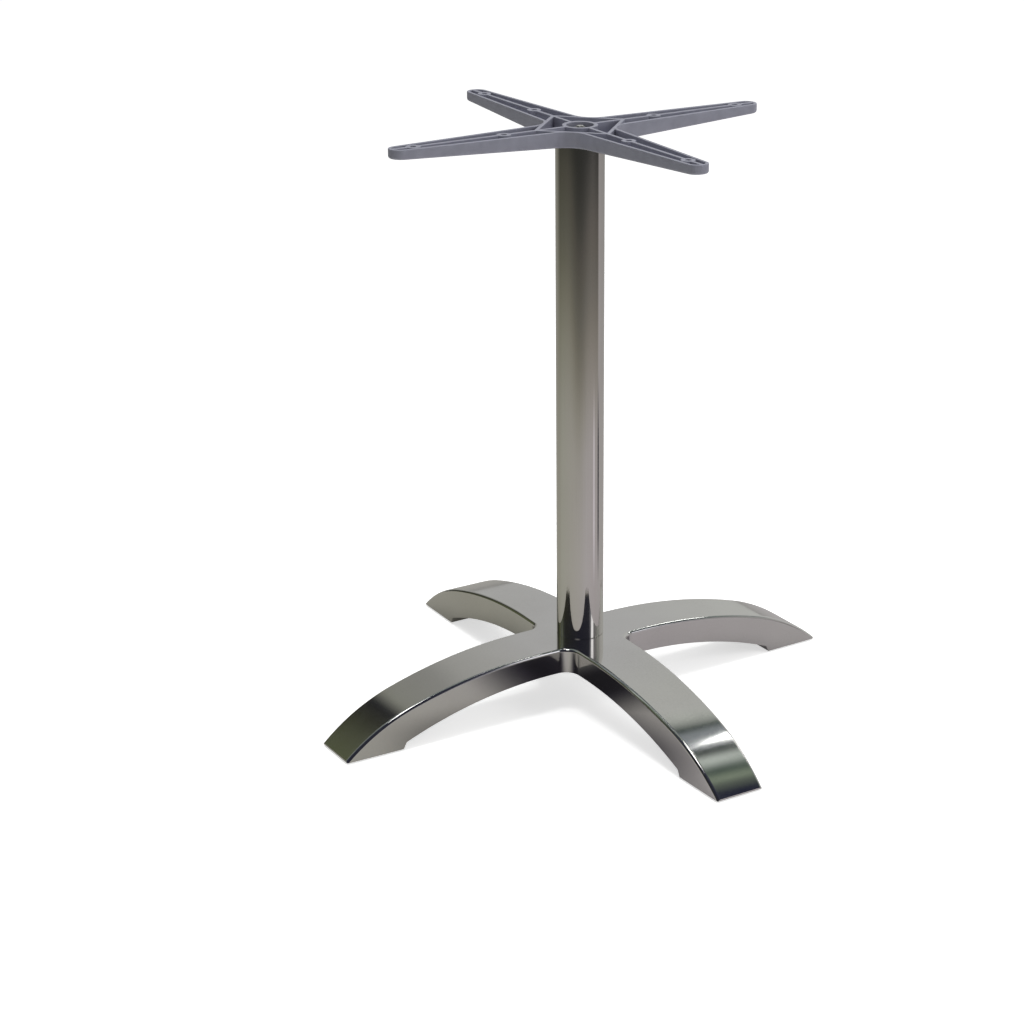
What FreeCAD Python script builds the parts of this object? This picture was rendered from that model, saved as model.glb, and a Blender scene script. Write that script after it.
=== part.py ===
import FreeCAD, Part
import math
import os

from FreeCAD import Vector

# Four-leg table base: a one-piece cast base with arched legs, a tube column, a cast top spider,
# the tie rod that clamps the three together, and a levelling glide in each foot.
# Millimetres, +Z up, floor at z = 0, column on the Z axis, legs and spider arms along X and Y.

# Overall size
total_height = 720.0
leg_reach = 345.0
spider_reach = 250.0

# Base casting, outer form
hub_height = 82.0
hub_flat = 74.0
shoulder_drop = 26.8
toe_length = 90.0
toe_blunt = 2.0
sole_lift = 2.5
sole_length = 75.0
heel_step = 8.0
heel_slant = 4.0
hub_wall_depth = 31.0
leg_root_half = 38.0
leg_tip_half = 32.0
hub_corner_radius = 18.0
arch_margin = 4.0
crown_edge_radius = 4.0

# Base casting, hollow underside
base_wall = 5.0
heel_wall = 5.0
toe_solid = 25.0
leg_rib_width = 5.0
leg_rib_depth = 9.0
hub_boss_radius = 25.0
hub_boss_depth = 15.0
spigot_height = 10.0
spigot_chamfer = 1.5

# Column tube
tube_radius = 29.0
tube_wall = 2.0
tube_clearance = 0.2

# Top spider
arm_root_half = 26.5
arm_tip_radius = 13.0
arm_tip_depth = 11.0
arm_corner_radius = 25.0
arm_edge_radius = 2.5
spider_flat = 40.0
spider_rim = 4.0
spider_rib = 4.5
spider_floor = 4.0
spider_seat = 2.0
diamond_reach = 60.0
screw_boss_radius = 8.5
screw_hole_radius = 3.5
tip_hole_setback = 30.0
mid_hole_distance = 102.5
nut_pocket_radius = 16.0
nut_pocket_wall = 5.0
nut_pocket_headroom = 1.1

# Tie rod and its nuts and washers
rod_radius = 5.0
rod_bore_clearance = 0.5
rod_end = 2.5
rod_chamfer = 1.0
nut_flats = 17.0
nut_height = 8.4
nut_bevel_degrees = 30.0
washer_radius = 14.0
washer_thickness = 2.5
washer_clearance = 0.25
spring_washer_radius = 9.0
spring_washer_thickness = 2.5
spring_washer_slit = 2.0

# Levelling glides
glide_setback = 52.0
glide_boss_radius = 11.0
glide_pad_radius = 14.0
glide_pad_rim = 5.0
glide_pad_edge = 1.5
glide_collar_radius = 8.0
glide_collar_top = 11.0
glide_pad_floor = 3.0
glide_stop_gap = 0.3
stud_radius = 4.0
stud_thread_clearance = 0.05
stud_engagement = 15.0
stud_end_gap = 2.0
stud_chamfer = 0.8

# How far a cutting shape runs past what it cuts
over = 20.0

# Turns in degrees, and how upright and level faces and edges are told apart
full_turn = 360.0
sides_of_star = 4
sides_of_nut = 6
upright_length = 0.01
upright_slope = 0.001
crown_slope = 0.2
underside_slope = -0.5

# Heights and distances that follow from the sizes above
nut_stack = washer_thickness + spring_washer_thickness + nut_height
nut_pocket_floor = total_height - nut_pocket_headroom - rod_end - nut_stack
spider_underside = nut_pocket_floor - spider_seat
hub_boss_underside = hub_height - hub_boss_depth
hub_wall_underside = hub_height - hub_wall_depth
rod_top = total_height - nut_pocket_headroom
rod_bottom = hub_boss_underside - nut_stack - rod_end
rod_bore_radius = rod_radius + rod_bore_clearance
spigot_radius = tube_radius - tube_wall - tube_clearance
heel = leg_reach - sole_length
glide_distance = leg_reach - glide_setback
tip_hole_distance = spider_reach - tip_hole_setback
glide_boss_underside = glide_collar_top + glide_stop_gap
stud_top = glide_boss_underside + stud_engagement
UP = Vector(0, 0, 1)
ORIGIN = Vector(0, 0, 0)


# Shapes used by several pieces

def cylinder(radius, low, high, x=0.0):
    """Upright cylinder between two heights."""
    return Part.makeCylinder(radius, high - low, Vector(x, 0, low), UP)


def ring(outer, inner, low, high):
    """Upright ring between two heights."""
    return cylinder(outer, low, high).cut(cylinder(inner, low - over, high + over))


def chamfered_rod(radius, low, high, chamfer, x=0.0):
    """Upright rod with both ends chamfered."""
    outline = [
        Vector(0, 0, low),
        Vector(radius - chamfer, 0, low),
        Vector(radius, 0, low + chamfer),
        Vector(radius, 0, high - chamfer),
        Vector(radius - chamfer, 0, high),
        Vector(0, 0, high),
    ]
    rod = revolved(Part.makePolygon(outline + outline[:1]))
    rod.translate(Vector(x, 0, 0))
    return rod


def revolved(wire):
    """Solid turned from a closed half section in the XZ plane."""
    return Part.Face(wire).revolve(ORIGIN, UP, full_turn)


def side_prism(edges, half_width):
    """Solid with a closed side view in the XZ plane, as wide to both sides of it."""
    face = Part.Face(Part.Wire(edges))
    face.translate(Vector(0, -half_width, 0))
    return face.extrude(Vector(0, 2 * half_width, 0))


def plan_prism(points, low, high):
    """Upright solid over a closed plan polygon, between two heights."""
    lifted = [Vector(point.x, point.y, low) for point in points]
    face = Part.Face(Part.makePolygon(lifted + lifted[:1]))
    return face.extrude(Vector(0, 0, high - low))


def turned(shape, quarter):
    """Copy of a shape turned about the column axis by a number of quarter turns."""
    copy = shape.copy()
    copy.rotate(ORIGIN, UP, full_turn / sides_of_star * quarter)
    return copy


def four_ways(shape):
    """The shape on all four legs or arms, as one solid."""
    copies = [turned(shape, quarter) for quarter in range(sides_of_star)]
    return copies[0].multiFuse(copies[1:]).removeSplitter()


def line(start, end):
    """Straight edge."""
    return Part.LineSegment(start, end).toShape()


def arc(start, end, centre):
    """Short arc about a centre."""
    middle = (start + end) * 0.5 - centre
    middle.normalize()
    return Part.Arc(start, centre + middle * (start - centre).Length, end).toShape()


def upright_edges(shape, reach):
    """Straight vertical edges of a shape that lie within a distance of the column axis."""
    found = []
    for edge in shape.Edges:
        box = edge.BoundBox
        if box.XLength + box.YLength < upright_length and math.hypot(box.XMin, box.YMin) < reach:
            found.append(edge)
    return found


def wall_edges(shape, wanted):
    """Edges where an upright wall meets a face whose middle normal passes a test."""
    found = []
    for edge in shape.Edges:
        slopes = [middle_normal(face).z for face in shape.ancestorsOfType(edge, Part.Face)]
        upright = any(abs(slope) < upright_slope for slope in slopes)
        if upright and any(wanted(slope) for slope in slopes):
            found.append(edge)
    return found


def middle_normal(face):
    """Outward normal at the middle of a face."""
    u_low, u_high, v_low, v_high = face.ParameterRange
    return face.normalAt((u_low + u_high) / 2, (v_low + v_high) / 2)


# Crown line of a leg: a flat hub, a long crown arc, and a tighter toe arc that ends at the tip

shoulder = leg_reach - toe_length
crown_run = shoulder - hub_flat
crown_radius = (crown_run ** 2 + shoulder_drop ** 2) / (2 * shoulder_drop)
crown_angle = math.asin(crown_run / crown_radius)
crown_centre = Vector(hub_flat, 0, hub_height - crown_radius)
crown_inward = Vector(-math.sin(crown_angle), 0, -math.cos(crown_angle))
shoulder_point = crown_centre - crown_inward * crown_radius
toe_chord = Vector(leg_reach, 0, sole_lift + toe_blunt) - shoulder_point
toe_radius = toe_chord.Length ** 2 / (2 * crown_inward.dot(toe_chord))
toe_centre = shoulder_point + crown_inward * toe_radius


def toe_point(depth, height):
    """Point of the toe arc, set in by a depth, at a height."""
    radius = toe_radius - depth
    rise = height - toe_centre.z
    return Vector(toe_centre.x + math.sqrt(radius ** 2 - rise ** 2), 0, height)


def under_crown(depth, half_width, low):
    """Everything below the crown line set in by a depth, down to a height."""
    roof = hub_height - depth
    joint = shoulder_point + crown_inward * depth
    toe = toe_point(depth, low)
    edges = [
        line(Vector(0, 0, low), Vector(0, 0, roof)),
        line(Vector(0, 0, roof), Vector(hub_flat, 0, roof)),
        arc(Vector(hub_flat, 0, roof), joint, crown_centre),
        arc(joint, toe, toe_centre),
        line(toe, Vector(0, 0, low)),
    ]
    return side_prism(edges, half_width)


def leg_half(distance):
    """Half width of a leg at a distance from the column axis."""
    return leg_root_half + (leg_tip_half - leg_root_half) * distance / leg_reach


def leg_strip(start, end, inset, low):
    """Tapered plan of a leg between two distances, set in from both sides, from a height to the hub top."""
    points = [
        Vector(start, -leg_half(start) + inset, 0),
        Vector(end, -leg_half(end) + inset, 0),
        Vector(end, leg_half(end) - inset, 0),
        Vector(start, leg_half(start) - inset, 0),
    ]
    return plan_prism(points, low, hub_height)


# Base casting

def crown_body():
    """The four legs and hub seen from above, with rounded corners and crown edges, not yet cut below."""
    deep = -over
    leg = under_crown(0, leg_root_half, deep).common(leg_strip(0, toe_point(0, deep).x, 0, deep))
    body = four_ways(leg)
    body = body.makeFillet(hub_corner_radius, upright_edges(body, hub_flat))
    return body.makeFillet(crown_edge_radius, wall_edges(body, lambda slope: slope > crown_slope))


def underside():
    """The space below one leg: under the arch, the heel step and the flat sole, and past the tip."""
    deep = -2 * over
    hub_corner = leg_root_half / (1 + (leg_root_half - leg_tip_half) / leg_reach)
    arch_start = hub_corner + hub_corner_radius + arch_margin
    arch_end = Vector(heel - heel_slant, 0, sole_lift + heel_step)
    run = arch_end.x - arch_start
    rise = hub_wall_underside - arch_end.z
    arch_radius = (run ** 2 + rise ** 2) / (2 * rise)
    spring = Vector(arch_start, 0, hub_wall_underside)
    crown = Vector(0, 0, hub_wall_underside)
    beyond = leg_reach + 2 * over
    corners = [
        arch_end,
        Vector(heel, 0, sole_lift),
        Vector(leg_reach, 0, sole_lift),
        Vector(leg_reach, 0, hub_height),
        Vector(beyond, 0, hub_height),
        Vector(beyond, 0, deep),
        Vector(0, 0, deep),
        crown,
        spring,
    ]
    edges = [line(start, end) for start, end in zip(corners, corners[1:])]
    edges.append(arc(spring, arch_end, spring - UP * arch_radius))
    return side_prism(edges, leg_root_half + hub_corner_radius + arch_margin)


def leg_hollow():
    """The open channel below one leg, up to the heel wall, and the open pocket in its foot."""
    roof = under_crown(base_wall, leg_root_half, 0)
    channel = leg_strip(0, heel - heel_slant - heel_wall, base_wall, 0)
    pocket = leg_strip(heel + heel_wall, leg_reach - toe_solid, base_wall, 0)
    return roof.common(channel.fuse(pocket))


def leg_stiffeners():
    """The rib along the roof of one leg, and the boss in its foot that the glide screws into."""
    below = under_crown(base_wall + leg_rib_depth, leg_rib_width, 0)
    rib = under_crown(base_wall, leg_rib_width / 2, hub_wall_underside - over).cut(below)
    rib = rib.common(leg_strip(0, heel, base_wall, sole_lift))
    boss = cylinder(glide_boss_radius, glide_boss_underside, hub_height, glide_distance)
    boss = boss.common(under_crown(base_wall / 2, leg_root_half, 0))
    return rib.fuse(boss)


def base_casting():
    """One-piece hollow casting: hub, four arched legs, the spigot for the column and the glide bosses."""
    body = crown_body().cut(four_ways(underside()))
    body = body.cut(four_ways(leg_hollow()))
    body = body.fuse(four_ways(leg_stiffeners()))
    body = body.fuse(cylinder(hub_boss_radius, hub_boss_underside, hub_height))
    spigot = chamfered_rod(spigot_radius, hub_boss_underside, hub_height + spigot_height, spigot_chamfer)
    body = body.fuse(spigot.common(cylinder(tube_radius, hub_height - base_wall / 2, total_height)))
    body = body.cut(cylinder(rod_bore_radius, 0, total_height))
    bore_top = stud_top + stud_end_gap
    bore = cylinder(stud_radius + stud_thread_clearance, sole_lift, bore_top, glide_distance)
    for quarter in range(sides_of_star):
        body = body.cut(turned(bore, quarter))
    return body.removeSplitter()


# Column

def column_tube():
    """Plain tube from the hub top to the underside of the spider."""
    return ring(tube_radius, tube_radius - tube_wall, hub_height, spider_underside)


# Top spider

def arm_prism(inset, low, high):
    """Plan of one tapered arm with a round end, set in all round, between two heights."""
    end_centre = Vector(spider_reach - arm_tip_radius, 0, low)
    taper = math.acos(arm_tip_radius / math.hypot(arm_root_half, end_centre.x))
    taper = taper - math.atan2(end_centre.x, arm_root_half)
    end_radius = arm_tip_radius - inset
    root = Vector(0, arm_root_half - inset / math.cos(taper), low)
    touch = end_centre + Vector(math.sin(taper), math.cos(taper), 0) * end_radius
    root_mirror = Vector(0, -root.y, low)
    touch_mirror = Vector(touch.x, -touch.y, low)
    end = end_centre + Vector(end_radius, 0, 0)
    edges = [
        line(root, touch),
        Part.Arc(touch, end, touch_mirror).toShape(),
        line(touch_mirror, root_mirror),
        line(root_mirror, root),
    ]
    return Part.Face(Part.Wire(edges)).extrude(Vector(0, 0, high - low))


def arm_underside(lift):
    """The space below one arm, which gets thinner towards its end, moved up by a lift."""
    low = spider_underside + lift
    tip = total_height - arm_tip_depth + lift
    corners = [
        Vector(spider_flat, 0, low),
        Vector(spider_reach, 0, tip),
        Vector(spider_reach + over, 0, tip),
        Vector(spider_reach + over, 0, low - over),
        Vector(spider_flat, 0, low - over),
    ]
    edges = [line(start, end) for start, end in zip(corners, corners[1:] + corners[:1])]
    return side_prism(edges, spider_flat + arm_corner_radius)


def spider_blank():
    """The outside of the spider, solid, with its lower edges rounded."""
    body = four_ways(arm_prism(0, spider_underside, total_height))
    body = body.makeFillet(arm_corner_radius, upright_edges(body, spider_flat + arm_corner_radius))
    body = body.cut(four_ways(arm_underside(0)))
    return body.makeFillet(arm_edge_radius, wall_edges(body, lambda slope: slope < underside_slope))


def spider_channels():
    """The hollows between rim, ribs and bosses, open at the top."""
    low = spider_underside + spider_floor
    hollow = four_ways(arm_prism(spider_rim, low, total_height + over))
    hollow = hollow.makeFillet(
        arm_corner_radius + spider_rim, upright_edges(hollow, spider_flat + arm_corner_radius))
    hollow = hollow.cut(four_ways(arm_underside(spider_floor)))
    return hollow.cut(spider_ribs())


def diamond(reach, low, high):
    """Upright square prism with its corners on the arms."""
    corners = [Vector(reach, 0, 0), Vector(0, reach, 0), Vector(-reach, 0, 0), Vector(0, -reach, 0)]
    return plan_prism(corners, low, high)


def spider_ribs():
    """The rib along each arm, the diamond round the centre, and the screw and nut bosses, full height."""
    low = spider_underside
    high = total_height + 2 * over
    half_rib = spider_rib / 2
    corners = [
        Vector(0, -half_rib, 0),
        Vector(spider_reach, -half_rib, 0),
        Vector(spider_reach, half_rib, 0),
        Vector(0, half_rib, 0),
    ]
    arm = plan_prism(corners, low, high)
    arm = arm.fuse(cylinder(screw_boss_radius, low, high, tip_hole_distance))
    arm = arm.fuse(cylinder(screw_boss_radius, low, high, mid_hole_distance))
    half_diagonal = half_rib * math.sqrt(2)
    frame = diamond(diamond_reach + half_diagonal, low, high)
    frame = frame.cut(diamond(diamond_reach - half_diagonal, low - over, high + over))
    hub = cylinder(nut_pocket_radius + nut_pocket_wall, low, high)
    return four_ways(arm).fuse(frame).fuse(hub)


def top_spider():
    """One-piece casting with four arms, open side up, and a spigot below for the column."""
    body = spider_blank().cut(spider_channels())
    spigot = chamfered_rod(spigot_radius, spider_underside - spigot_height, nut_pocket_floor, spigot_chamfer)
    body = body.fuse(spigot.common(cylinder(tube_radius, 0, spider_underside + spider_seat / 2)))
    body = body.cut(cylinder(nut_pocket_radius, nut_pocket_floor, total_height + over))
    body = body.cut(cylinder(rod_bore_radius, 0, total_height))
    for distance in (tip_hole_distance, mid_hole_distance):
        hole = cylinder(screw_hole_radius, 0, total_height + over, distance)
        for quarter in range(sides_of_star):
            body = body.cut(turned(hole, quarter))
    return body.removeSplitter()


# Tie rod, nuts and washers

def hex_nut(low):
    """Hexagon nut with bevelled corners, its lower face at a height."""
    half_side = math.pi / sides_of_nut
    corner = nut_flats / 2 / math.cos(half_side)
    angles = [2 * half_side * side for side in range(sides_of_nut)]
    points = [Vector(corner * math.cos(angle), corner * math.sin(angle), 0) for angle in angles]
    high = low + nut_height
    bevel = (corner - nut_flats / 2) * math.tan(math.radians(nut_bevel_degrees))
    outline = [
        Vector(0, 0, low),
        Vector(nut_flats / 2, 0, low),
        Vector(corner, 0, low + bevel),
        Vector(corner, 0, high - bevel),
        Vector(nut_flats / 2, 0, high),
        Vector(0, 0, high),
    ]
    turned_blank = revolved(Part.makePolygon(outline + outline[:1]))
    blank = plan_prism(points, low, high).common(turned_blank)
    return blank.cut(cylinder(rod_radius, low - over, high + over))


def flat_washer(low):
    """Flat washer, its lower face at a height."""
    return ring(washer_radius, rod_radius + washer_clearance, low, low + washer_thickness)


def spring_washer(low):
    """Split spring washer, pressed flat, its lower face at a height."""
    high = low + spring_washer_thickness
    body = ring(spring_washer_radius, rod_radius + washer_clearance, low, high)
    half_slit = spring_washer_slit / 2
    slit = [
        Vector(0, -half_slit, 0),
        Vector(2 * spring_washer_radius, -half_slit, 0),
        Vector(2 * spring_washer_radius, half_slit, 0),
        Vector(0, half_slit, 0),
    ]
    return body.cut(plan_prism(slit, low - over, high + over))


def clamp_pieces():
    """The tie rod, and the washers and nuts under the hub and in the pocket of the spider."""
    top_spring = nut_pocket_floor + washer_thickness
    bottom_washer = hub_boss_underside - washer_thickness
    bottom_spring = bottom_washer - spring_washer_thickness
    return {
        "tie_rod": chamfered_rod(rod_radius, rod_bottom, rod_top, rod_chamfer),
        "top_washer": flat_washer(nut_pocket_floor),
        "top_spring_washer": spring_washer(top_spring),
        "top_nut": hex_nut(top_spring + spring_washer_thickness),
        "bottom_washer": flat_washer(bottom_washer),
        "bottom_spring_washer": spring_washer(bottom_spring),
        "bottom_nut": hex_nut(bottom_spring - nut_height),
    }


# Levelling glides

def glide_stud():
    """Plain stand-in for the threaded stud, from inside its pad up into the boss of the foot."""
    return chamfered_rod(stud_radius, glide_pad_floor, stud_top, stud_chamfer, glide_distance)


def glide_pad():
    """Round pad with a chamfered lower edge and a collar that stops against the boss of the foot."""
    outline = [
        ORIGIN,
        Vector(glide_pad_radius - glide_pad_edge, 0, 0),
        Vector(glide_pad_radius, 0, glide_pad_edge),
        Vector(glide_pad_radius, 0, glide_pad_rim),
        Vector(glide_collar_radius, 0, (glide_pad_rim + glide_collar_top) / 2),
        Vector(glide_collar_radius, 0, glide_collar_top),
        Vector(0, 0, glide_collar_top),
    ]
    pad = revolved(Part.makePolygon(outline + outline[:1]))
    pad.translate(Vector(glide_distance, 0, 0))
    return pad.cut(glide_stud())


# Every piece under its own name

pieces = {
    "base_casting": base_casting(),
    "column_tube": column_tube(),
    "top_spider": top_spider(),
}
pieces.update(clamp_pieces())
for quarter in range(sides_of_star):
    pieces[f"glide_stud_{quarter + 1}"] = turned(glide_stud(), quarter)
    pieces[f"glide_pad_{quarter + 1}"] = turned(glide_pad(), quarter)

os.makedirs("parts", exist_ok=True)
for name, shape in pieces.items():
    print(name, shape.isValid(), len(shape.Solids), round(shape.Volume, 1))
    shape.exportStep(f"parts/{name}.step")
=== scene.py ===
"""Looks of a four-leg pedestal table base: polished casting, polished tube column and cast top spider.

Every visible piece but the nuts and washers, which stay as the part's own solids, is modelled here as a
smooth mesh on the part's own sizes and dressed in its finish. The studio holds the white floor, the cards
that polished metal mirrors, the lamps and the camera.
"""

import logging
import math
from contextlib import contextmanager
from dataclasses import dataclass
from enum import Enum
from typing import Any, Callable, Iterator, Optional, Union

import bmesh
import bpy
from bpy.types import Material, NodeSocket, NodeTree, Object
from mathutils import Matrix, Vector


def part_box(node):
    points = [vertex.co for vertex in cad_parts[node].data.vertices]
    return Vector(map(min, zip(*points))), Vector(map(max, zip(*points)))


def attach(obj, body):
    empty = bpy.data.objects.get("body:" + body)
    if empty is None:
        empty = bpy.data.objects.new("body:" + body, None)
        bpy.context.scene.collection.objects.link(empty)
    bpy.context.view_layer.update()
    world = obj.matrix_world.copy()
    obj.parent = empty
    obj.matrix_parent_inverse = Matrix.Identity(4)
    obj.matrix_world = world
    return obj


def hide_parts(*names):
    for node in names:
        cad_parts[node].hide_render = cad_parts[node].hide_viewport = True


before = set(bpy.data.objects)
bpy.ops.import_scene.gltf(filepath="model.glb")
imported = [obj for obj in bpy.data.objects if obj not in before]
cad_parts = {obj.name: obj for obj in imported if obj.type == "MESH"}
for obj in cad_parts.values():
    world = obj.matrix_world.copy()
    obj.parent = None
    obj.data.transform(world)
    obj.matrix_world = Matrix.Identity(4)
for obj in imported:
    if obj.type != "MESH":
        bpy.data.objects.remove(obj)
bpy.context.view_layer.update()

MM = 0.001
QUARTER = math.pi / 2
UP = Vector((0, 0, 1))
AHEAD = Vector((1, 0, 0))
WELD = 0.01 * MM
UPRIGHT_SLOPE = 0.02
LEANING_SLOPE = 0.2
LEVEL_SLOPE = 0.9
CASTING_SMOOTH = math.radians(35)
THREAD_SMOOTH = math.radians(25)
THREAD_DEPTH = 0.61
THREAD_STEPS = 16
BLANK_SIDES = 48
LOG = logging.getLogger("table_base")

# Settings that many nodes share
SOFT_STEP = {"interpolation_type": "SMOOTHSTEP"}
TIMES = {"operation": "MULTIPLY"}
DIVIDED = {"operation": "DIVIDE"}
ALONG = {"operation": "DOT_PRODUCT"}
BLEND = {"data_type": "RGBA"}
TINTED = {"data_type": "RGBA", "blend_type": "MULTIPLY"}


# Small tools: colours, nodes, selection and modelling steps

class Way(Enum):
    """How a second solid changes the first."""

    CUT = "DIFFERENCE"
    ADD = "UNION"
    KEEP = "INTERSECT"


class Part(Enum):
    """What is picked of a mesh."""

    POINTS = "VERT"
    EDGES = "EDGE"
    FACES = "FACE"


def linear(colour: str) -> tuple[float, float, float, float]:
    """Turns an sRGB hex colour into linear light.

    Args:
        colour: six hex digits after a number sign.

    Returns:
        Linear red, green, blue and a full alpha.
    """
    shares = [int(colour[start:start + 2], 16) / 255 for start in (1, 3, 5)]
    red, green, blue = [s / 12.92 if s <= 0.04045 else ((s + 0.055) / 1.055) ** 2.4 for s in shares]
    return red, green, blue, 1.0


def add_node(tree: NodeTree, kind: str, settings: dict, inputs: dict,
             output: str = "") -> Optional[NodeSocket]:
    """Adds one shader node.

    Args:
        tree: the node tree that it goes into.
        kind: Blender's name of the node, after ShaderNode.
        settings: properties of the node; "stops" fills a colour ramp with (place, hex colour) pairs.
        inputs: a value, a hex colour or an output socket for each input, by its name or number.
        output: name of the output that is wanted; the first one in use if it is left empty.

    Returns:
        That output, or nothing where the node has none.
    """
    node = tree.nodes.new("ShaderNode" + kind)
    for name, value in settings.items():
        if name != "stops":
            setattr(node, name, value)
            continue
        while len(node.color_ramp.elements) < len(value):
            node.color_ramp.elements.new(1.0)
        for element, (place, colour) in zip(node.color_ramp.elements, value):
            element.position = place
            element.color = linear(colour)
    for name, value in inputs.items():
        if isinstance(value, NodeSocket):
            tree.links.new(value, node.inputs[name])
        else:
            node.inputs[name].default_value = linear(value) if isinstance(value, str) else value
    outputs = [socket for socket in node.outputs if socket.enabled and output in ("", socket.name)]
    return outputs[0] if outputs else None


def new_material(name: str) -> Material:
    """Starts a material with a node tree."""
    material = bpy.data.materials.new(name)
    material.use_nodes = True
    return material


def select_only(*pieces: Object) -> None:
    """Selects some objects and nothing else.

    Args:
        pieces: the objects; the first becomes the active one.
    """
    bpy.ops.object.select_all(action="DESELECT")
    for piece in pieces:
        piece.select_set(True)
    bpy.context.view_layer.objects.active = pieces[0] if pieces else None


@contextmanager
def editing(piece: Object) -> Iterator[None]:
    """Keeps one object in edit mode, with all of its mesh selected at the start.

    Args:
        piece: the object.

    Returns:
        The context, which gives nothing.
    """
    select_only(piece)
    bpy.ops.object.mode_set(mode="EDIT")
    bpy.ops.mesh.select_mode(type="VERT")
    bpy.ops.mesh.select_all(action="SELECT")
    yield
    bpy.ops.object.mode_set(mode="OBJECT")


def pick(piece: Object, part: Part, wanted: Callable[[Any], bool]) -> None:
    """Selects what passes a test in the mesh in edit mode, and nothing else.

    Args:
        piece: the object in edit mode.
        part: whether points, edges or faces are picked.
        wanted: the test of one of them.
    """
    bpy.ops.mesh.select_mode(type=part.value)
    bpy.ops.mesh.select_all(action="DESELECT")
    mesh = bmesh.from_edit_mesh(piece.data)
    mesh.normal_update()
    for element in {Part.POINTS: mesh.verts, Part.EDGES: mesh.edges, Part.FACES: mesh.faces}[part]:
        element.select_set(wanted(element))
    if part is Part.POINTS:
        mesh.select_flush_mode()
    bmesh.update_edit_mesh(piece.data)


def named(name: str) -> Object:
    """Names the object that was just added and puts its place into its mesh.

    Args:
        name: what it is called.

    Returns:
        The object.
    """
    piece = bpy.context.active_object
    piece.name = name
    select_only(piece)
    bpy.ops.object.transform_apply(location=True, rotation=True, scale=True)
    return piece


def trim(place: Vector, away: Vector, fill: bool = True) -> None:
    """Cuts off what lies past a plane, on all of the mesh in edit mode."""
    bpy.ops.mesh.select_all(action="SELECT")
    bpy.ops.mesh.bisect(plane_co=place, plane_no=away, use_fill=fill, clear_outer=True, threshold=WELD / 10)


def weld(piece: Object) -> None:
    """Merges points that lie on each other and turns all faces outwards.

    Args:
        piece: a closed solid.
    """
    with editing(piece):
        bpy.ops.mesh.remove_doubles(threshold=WELD)
        bpy.ops.mesh.normals_make_consistent(inside=False)


def joined(pieces: list[Object]) -> Object:
    """Joins objects into one.

    Args:
        pieces: the objects.

    Returns:
        The first of them, which holds all the meshes.
    """
    select_only(*pieces)
    bpy.ops.object.join()
    return bpy.context.active_object


def turn(piece: Object, quarter: int) -> None:
    """Turns a piece's mesh about the column axis by quarter turns."""
    with editing(piece):
        bpy.ops.transform.rotate(value=-quarter * QUARTER, orient_axis="Z", center_override=(0, 0, 0))


def ring(piece: Object) -> list[Object]:
    """Repeats a piece on all four sides of the column.

    Args:
        piece: the piece on the first side.

    Returns:
        The piece and its three copies, each with its own mesh.
    """
    pieces = [piece]
    for quarter in range(1, 4):
        select_only(piece)
        bpy.ops.object.duplicate(linked=False)
        pieces.append(bpy.context.active_object)
        turn(pieces[-1], quarter)
    return pieces


def four_ways(piece: Object) -> Object:
    """Repeats a piece on all four sides of the column, in one mesh.

    Args:
        piece: the piece on the first side.

    Returns:
        The joined mesh.
    """
    star = joined(ring(piece))
    weld(star)
    return star


def combine(piece: Object, other: Object, way: Way) -> None:
    """Changes one solid by another, which is then removed.

    Args:
        piece: the solid that stays.
        other: the solid that is cut out, added or laid over it.
        way: which of these is done.
    """
    select_only(piece)
    change = piece.modifiers.new("combine", "BOOLEAN")
    change.solver = "EXACT"
    change.operation = way.value
    change.object = other
    bpy.ops.object.modifier_apply(modifier=change.name)
    bpy.data.objects.remove(other, do_unlink=True)


def rod(name: str, radius: float, low: float, high: float, x: float = 0.0, sides: int = 64) -> Object:
    """Adds a plain upright rod, a cutter or a boss for a larger piece.

    Args:
        name: what the rod is called until it is combined.
        radius: its radius.
        low: height of its lower end.
        high: height of its upper end.
        x: distance of its axis from the column axis.
        sides: how many flats stand for its round.

    Returns:
        The new object, with its place in its mesh.
    """
    select_only()
    bpy.ops.mesh.primitive_cylinder_add(
        vertices=sides, radius=radius, depth=high - low, location=(x, 0, (low + high) / 2))
    return named(name)


@dataclass(frozen=True)
class Run:
    """A straight stretch of an outline, to a point in the side view."""

    x: float
    z: float


@dataclass(frozen=True)
class Bow:
    """A round stretch of an outline, to a point in the side view, about a centre."""

    x: float
    z: float
    centre_x: float
    centre_z: float
    steps: int


Stretches = list[Union[Run, Bow]]


def outline(name: str, start: Run, stretches: Stretches, y: float) -> Object:
    """Draws a line in a side view by extruding and spinning one point.

    Args:
        name: what the piece is called.
        start: where the line starts.
        stretches: its stretches in order.
        y: how far to the side the view lies.

    Returns:
        The new line, with its place in its mesh.
    """
    select_only()
    bpy.ops.mesh.primitive_plane_add(size=MM, location=(start.x, y, start.z))
    piece = named(name)
    with editing(piece):
        bpy.ops.mesh.merge(type="CENTER")
        here = start
        for stretch in stretches:
            if isinstance(stretch, Run):
                step = (stretch.x - here.x, 0, stretch.z - here.z)
                bpy.ops.mesh.extrude_region_move(TRANSFORM_OT_translate={"value": step})
            else:
                begin = math.atan2(here.x - stretch.centre_x, here.z - stretch.centre_z)
                end = math.atan2(stretch.x - stretch.centre_x, stretch.z - stretch.centre_z)
                centre = (stretch.centre_x, y, stretch.centre_z)
                bpy.ops.mesh.spin(steps=stretch.steps, angle=begin - end, center=centre, axis=(0, 1, 0))
            here = stretch
    return piece


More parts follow.
